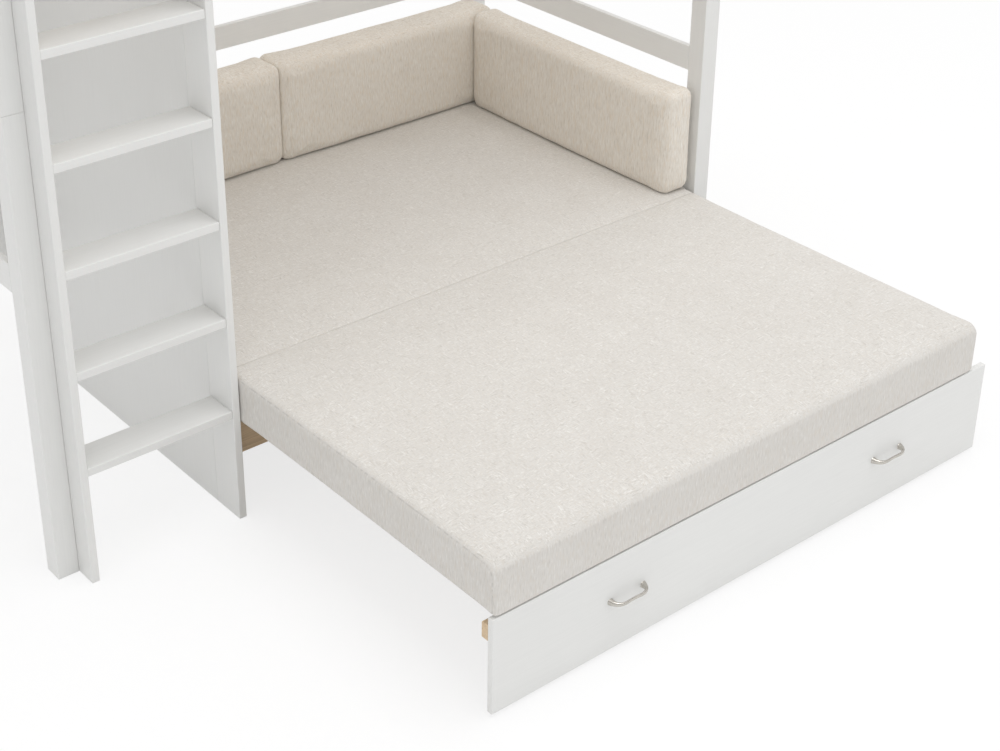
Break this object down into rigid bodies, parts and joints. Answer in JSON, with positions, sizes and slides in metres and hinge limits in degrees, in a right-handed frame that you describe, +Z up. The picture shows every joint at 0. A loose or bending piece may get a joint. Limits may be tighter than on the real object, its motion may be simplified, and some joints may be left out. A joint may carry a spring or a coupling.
{
  "type": "futon bunk bed",
  "caption": "Tall white post bunk with a ladder over a slatted futon sofa whose frame rolls out into a low double bed, with a split mattress and loose cushions",
  "frame": {"origin": "on the floor, under the middle of the bed's box with the frame pulled out", "axes": "+Z up; +X along the bed, with the ladder at the -X end; -Y is the side that the frame pulls out to"},
  "size_m": [2.11, 2.0757, 1.93],
  "materials": {
    "white_paint": "satin",
    "natural_wood": "satin",
    "zinc_steel": "satin",
    "brushed_nickel": "satin",
    "mattress_fabric": "matte",
    "cushion_fabric": "matte",
    "dark_nylon": "matte"
  },
  "bodies": {
    "bed": {"left_front_post_lower": "white_paint", "left_front_post_upper": "white_paint", "left_back_post_lower": "white_paint", "left_back_post_upper": "white_paint", "right_front_post_lower": "white_paint", "right_front_post_upper": "white_paint", "right_back_post_lower": "white_paint", "right_back_post_upper": "white_paint", "back_rail": "white_paint", "left_end_rail": "white_paint", "right_end_rail": "white_paint", "bunk_front_rail": "white_paint", "bunk_back_rail": "white_paint", "bunk_left_rail": "white_paint", "bunk_right_rail": "white_paint", "front_guard_rails": "white_paint", "back_guard_rails": "white_paint", "left_guard_rails": "white_paint", "right_guard_rails": "white_paint", "ladder_left_board": "white_paint", "ladder_right_board": "white_paint", "ladder_tread_1": "white_paint", "ladder_tread_2": "white_paint", "ladder_tread_3": "white_paint", "ladder_tread_4": "white_paint", "ladder_tread_5": "white_paint", "ladder_tread_6": "white_paint", "divider_panel": "white_paint", "ladder_bay_back_panel": "white_paint", "base_front_rail": "natural_wood", "base_back_rail": "natural_wood", "base_slats": "natural_wood", "front_slat_ledge": "natural_wood", "back_slat_ledge": "natural_wood", "bunk_slats": "natural_wood", "dowels": "natural_wood", "base_slat_screws": "zinc_steel", "base_angles": "zinc_steel", "base_angle_screws": "zinc_steel", "post_pins": "zinc_steel", "rear_mattress": "mattress_fabric", "left_back_cushion": "cushion_fabric", "right_back_cushion": "cushion_fabric", "end_cushion": "cushion_fabric"},
    "pullout": {"pullout_front_panel": "white_paint", "pullout_front_rail": "natural_wood", "pullout_rear_batten": "natural_wood", "pullout_slats": "natural_wood", "left_handle": "brushed_nickel", "right_handle": "brushed_nickel", "pullout_slat_screws": "zinc_steel", "handle_screws": "zinc_steel", "wheel_brackets": "zinc_steel", "bracket_screws": "zinc_steel", "wheel_axles": "zinc_steel"},
    "front_half": {"front_mattress": "mattress_fabric"},
    "wheel_1_body": {"wheel_1": "dark_nylon"},
    "wheel_2_body": {"wheel_2": "dark_nylon"},
    "wheel_3_body": {"wheel_3": "dark_nylon"}
  },
  "joints": [
    {"name": "pullout_slide", "type": "slide", "parent": "bed", "child": "pullout", "axis": [0, 1, 0], "range_m": [0, 0.958]},
    {"name": "futon_fold", "type": "hinge", "parent": "bed", "child": "front_half", "pos_m": [0.2093, -0.02725, 0.3985], "axis": [-1, 0, 0], "range_deg": [0, 90]},
    {"name": "wheel_1_spin", "type": "hinge", "parent": "pullout", "child": "wheel_1_body", "pos_m": [-0.4155, -0.96825, 0.02], "axis": [-1, 0, 0], "continuous": true},
    {"name": "wheel_2_spin", "type": "hinge", "parent": "pullout", "child": "wheel_2_body", "pos_m": [0.23375, -0.96825, 0.02], "axis": [-1, 0, 0], "continuous": true},
    {"name": "wheel_3_spin", "type": "hinge", "parent": "pullout", "child": "wheel_3_body", "pos_m": [0.883, -0.96825, 0.02], "axis": [-1, 0, 0], "continuous": true}
  ],
  "couplings": [
    {"joint": "futon_fold", "follows": "pullout_slide", "rad_per_m": 1.6396},
    {"joint": "wheel_1_spin", "follows": "pullout_slide", "rad_per_m": 50},
    {"joint": "wheel_2_spin", "follows": "pullout_slide", "rad_per_m": 50},
    {"joint": "wheel_3_spin", "follows": "pullout_slide", "rad_per_m": 50}
  ]
}
